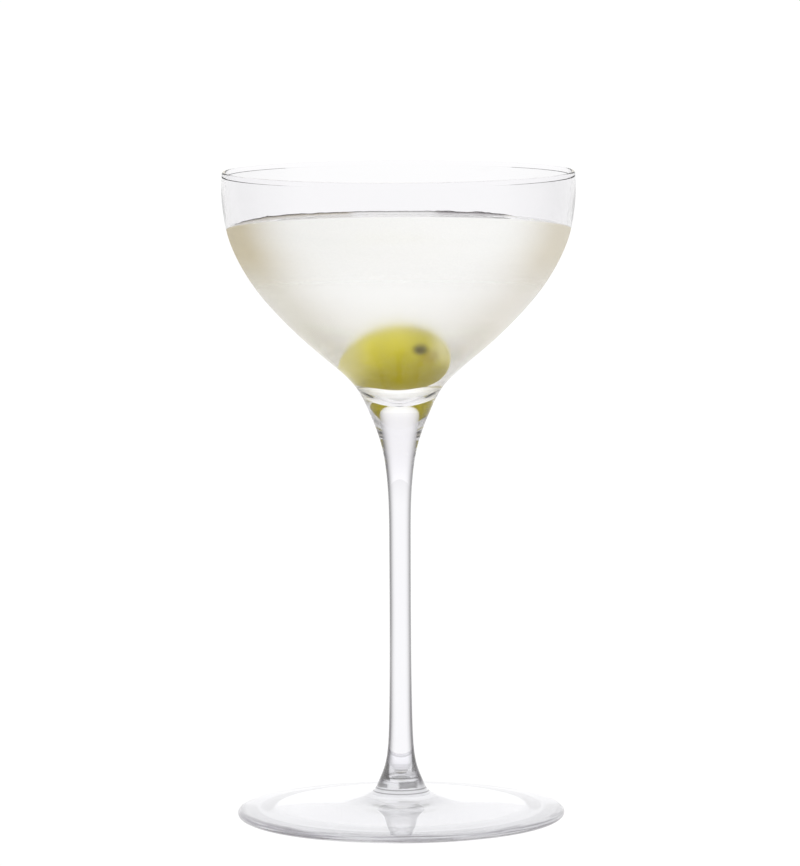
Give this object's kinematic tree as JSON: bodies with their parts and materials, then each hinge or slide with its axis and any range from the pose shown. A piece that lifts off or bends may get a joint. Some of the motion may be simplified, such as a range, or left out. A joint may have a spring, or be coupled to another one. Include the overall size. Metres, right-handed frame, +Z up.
{
  "type": "martini in a coupe glass",
  "caption": "Martini served in a clear stemmed coupe: a wide shallow bowl on a thin stem and round foot, filled with pale spirit to just under the lip.",
  "frame": {"origin": "middle of the foot's underside, on the surface that the glass stands on", "axes": "+Z up the stem through the bowl's middle; the glass is round, so +X and +Y are any two level directions"},
  "size_m": [0.095, 0.095, 0.1747],
  "materials": {
    "glass": "clear blown glass, smooth and bright, misted with condensation outside the filled bowl",
    "drink": "clear pale straw spirit with a still surface",
    "olive": "wet green olive skin, finely dimpled, with a darker stem scar"
  },
  "bodies": {
    "root": {"glass": "glass", "drink": "drink"}
  },
  "joints": []
}
